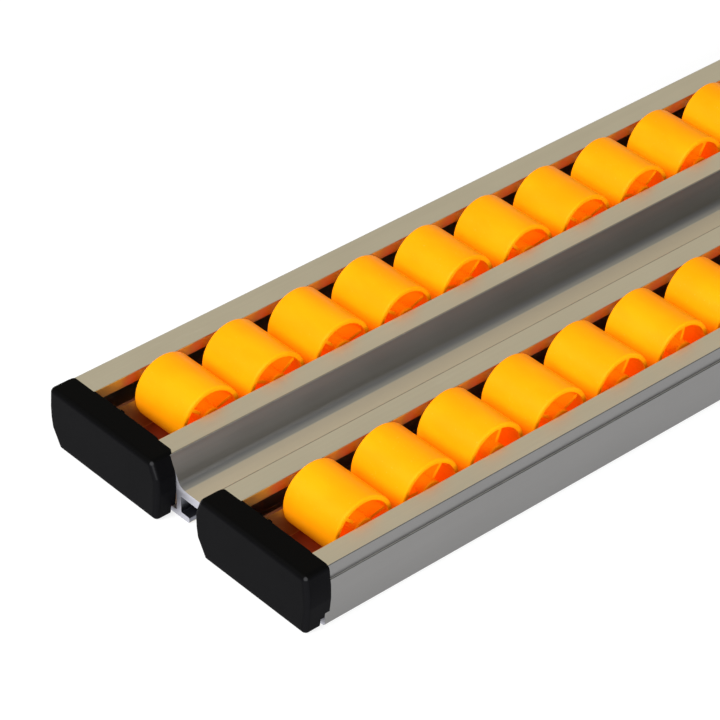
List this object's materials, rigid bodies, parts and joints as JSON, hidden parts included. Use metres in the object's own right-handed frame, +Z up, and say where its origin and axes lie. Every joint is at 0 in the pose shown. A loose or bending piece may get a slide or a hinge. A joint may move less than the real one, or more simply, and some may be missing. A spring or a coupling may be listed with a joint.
{
  "type": "flow rack roller track",
  "caption": "Flow rack roller track: an aluminium profile whose parallel channels hold rows of free-turning plastic rollers on steel axles, closed by moulded end caps, slotted underneath.",
  "frame": {"origin": "on the underside, at mid-length, in the middle of the mouth of the fixing slot between the channels", "axes": "+Z up, away from the underside; +Y along the track from the near caps to the far caps; +X across it, towards the side with the stepped wall"},
  "size_m": [0.1615, 0.4726, 0.0346],
  "materials": {
    "anodised_aluminium": "satin anodised",
    "amber_plastic": "glossy moulded",
    "black_plastic": "satin moulded",
    "axle_steel": "drawn"
  },
  "bodies": {
    "track": {"track_profile": "anodised_aluminium", "end_cap_a_near": "black_plastic", "end_cap_a_far": "black_plastic", "end_cap_b_near": "black_plastic", "end_cap_b_far": "black_plastic", "axle_a_1": "axle_steel", "axle_a_2": "axle_steel", "axle_a_3": "axle_steel", "axle_a_4": "axle_steel", "axle_a_5": "axle_steel", "axle_a_6": "axle_steel", "axle_a_7": "axle_steel", "axle_a_8": "axle_steel", "axle_a_9": "axle_steel", "axle_a_10": "axle_steel", "axle_a_11": "axle_steel", "axle_a_12": "axle_steel", "axle_b_1": "axle_steel", "axle_b_2": "axle_steel", "axle_b_3": "axle_steel", "axle_b_4": "axle_steel", "axle_b_5": "axle_steel", "axle_b_6": "axle_steel", "axle_b_7": "axle_steel", "axle_b_8": "axle_steel", "axle_b_9": "axle_steel", "axle_b_10": "axle_steel", "axle_b_11": "axle_steel", "axle_b_12": "axle_steel"},
    "roller_a_1": {"roller_a_1": "amber_plastic"},
    "roller_a_2": {"roller_a_2": "amber_plastic"},
    "roller_a_3": {"roller_a_3": "amber_plastic"},
    "roller_a_4": {"roller_a_4": "amber_plastic"},
    "roller_a_5": {"roller_a_5": "amber_plastic"},
    "roller_a_6": {"roller_a_6": "amber_plastic"},
    "roller_a_7": {"roller_a_7": "amber_plastic"},
    "roller_a_8": {"roller_a_8": "amber_plastic"},
    "roller_a_9": {"roller_a_9": "amber_plastic"},
    "roller_a_10": {"roller_a_10": "amber_plastic"},
    "roller_a_11": {"roller_a_11": "amber_plastic"},
    "roller_a_12": {"roller_a_12": "amber_plastic"},
    "roller_b_1": {"roller_b_1": "amber_plastic"},
    "roller_b_2": {"roller_b_2": "amber_plastic"},
    "roller_b_3": {"roller_b_3": "amber_plastic"},
    "roller_b_4": {"roller_b_4": "amber_plastic"},
    "roller_b_5": {"roller_b_5": "amber_plastic"},
    "roller_b_6": {"roller_b_6": "amber_plastic"},
    "roller_b_7": {"roller_b_7": "amber_plastic"},
    "roller_b_8": {"roller_b_8": "amber_plastic"},
    "roller_b_9": {"roller_b_9": "amber_plastic"},
    "roller_b_10": {"roller_b_10": "amber_plastic"},
    "roller_b_11": {"roller_b_11": "amber_plastic"},
    "roller_b_12": {"roller_b_12": "amber_plastic"}
  },
  "joints": [
    {"name": "roller_a_1_spin", "type": "hinge", "parent": "track", "child": "roller_a_1", "pos_m": [-0.0466, -0.1925, 0.0196], "axis": [1, 0, 0], "continuous": true},
    {"name": "roller_a_2_spin", "type": "hinge", "parent": "track", "child": "roller_a_2", "pos_m": [-0.0466, -0.1575, 0.0196], "axis": [1, 0, 0], "continuous": true},
    {"name": "roller_a_3_spin", "type": "hinge", "parent": "track", "child": "roller_a_3", "pos_m": [-0.0466, -0.1225, 0.0196], "axis": [1, 0, 0], "continuous": true},
    {"name": "roller_a_4_spin", "type": "hinge", "parent": "track", "child": "roller_a_4", "pos_m": [-0.0466, -0.0875, 0.0196], "axis": [1, 0, 0], "continuous": true},
    {"name": "roller_a_5_spin", "type": "hinge", "parent": "track", "child": "roller_a_5", "pos_m": [-0.0466, -0.0525, 0.0196], "axis": [1, 0, 0], "continuous": true},
    {"name": "roller_a_6_spin", "type": "hinge", "parent": "track", "child": "roller_a_6", "pos_m": [-0.0466, -0.0175, 0.0196], "axis": [1, 0, 0], "continuous": true},
    {"name": "roller_a_7_spin", "type": "hinge", "parent": "track", "child": "roller_a_7", "pos_m": [-0.0466, 0.0175, 0.0196], "axis": [1, 0, 0], "continuous": true},
    {"name": "roller_a_8_spin", "type": "hinge", "parent": "track", "child": "roller_a_8", "pos_m": [-0.0466, 0.0525, 0.0196], "axis": [1, 0, 0], "continuous": true},
    {"name": "roller_a_9_spin", "type": "hinge", "parent": "track", "child": "roller_a_9", "pos_m": [-0.0466, 0.0875, 0.0196], "axis": [1, 0, 0], "continuous": true},
    {"name": "roller_a_10_spin", "type": "hinge", "parent": "track", "child": "roller_a_10", "pos_m": [-0.0466, 0.1225, 0.0196], "axis": [1, 0, 0], "continuous": true},
    {"name": "roller_a_11_spin", "type": "hinge", "parent": "track", "child": "roller_a_11", "pos_m": [-0.0466, 0.1575, 0.0196], "axis": [1, 0, 0], "continuous": true},
    {"name": "roller_a_12_spin", "type": "hinge", "parent": "track", "child": "roller_a_12", "pos_m": [-0.0466, 0.1925, 0.0196], "axis": [1, 0, 0], "continuous": true},
    {"name": "roller_b_1_spin", "type": "hinge", "parent": "track", "child": "roller_b_1", "pos_m": [0.0466, -0.1925, 0.0196], "axis": [1, 0, 0], "continuous": true},
    {"name": "roller_b_2_spin", "type": "hinge", "parent": "track", "child": "roller_b_2", "pos_m": [0.0466, -0.1575, 0.0196], "axis": [1, 0, 0], "continuous": true},
    {"name": "roller_b_3_spin", "type": "hinge", "parent": "track", "child": "roller_b_3", "pos_m": [0.0466, -0.1225, 0.0196], "axis": [1, 0, 0], "continuous": true},
    {"name": "roller_b_4_spin", "type": "hinge", "parent": "track", "child": "roller_b_4", "pos_m": [0.0466, -0.0875, 0.0196], "axis": [1, 0, 0], "continuous": true},
    {"name": "roller_b_5_spin", "type": "hinge", "parent": "track", "child": "roller_b_5", "pos_m": [0.0466, -0.0525, 0.0196], "axis": [1, 0, 0], "continuous": true},
    {"name": "roller_b_6_spin", "type": "hinge", "parent": "track", "child": "roller_b_6", "pos_m": [0.0466, -0.0175, 0.0196], "axis": [1, 0, 0], "continuous": true},
    {"name": "roller_b_7_spin", "type": "hinge", "parent": "track", "child": "roller_b_7", "pos_m": [0.0466, 0.0175, 0.0196], "axis": [1, 0, 0], "continuous": true},
    {"name": "roller_b_8_spin", "type": "hinge", "parent": "track", "child": "roller_b_8", "pos_m": [0.0466, 0.0525, 0.0196], "axis": [1, 0, 0], "continuous": true},
    {"name": "roller_b_9_spin", "type": "hinge", "parent": "track", "child": "roller_b_9", "pos_m": [0.0466, 0.0875, 0.0196], "axis": [1, 0, 0], "continuous": true},
    {"name": "roller_b_10_spin", "type": "hinge", "parent": "track", "child": "roller_b_10", "pos_m": [0.0466, 0.1225, 0.0196], "axis": [1, 0, 0], "continuous": true},
    {"name": "roller_b_11_spin", "type": "hinge", "parent": "track", "child": "roller_b_11", "pos_m": [0.0466, 0.1575, 0.0196], "axis": [1, 0, 0], "continuous": true},
    {"name": "roller_b_12_spin", "type": "hinge", "parent": "track", "child": "roller_b_12", "pos_m": [0.0466, 0.1925, 0.0196], "axis": [1, 0, 0], "continuous": true}
  ]
}
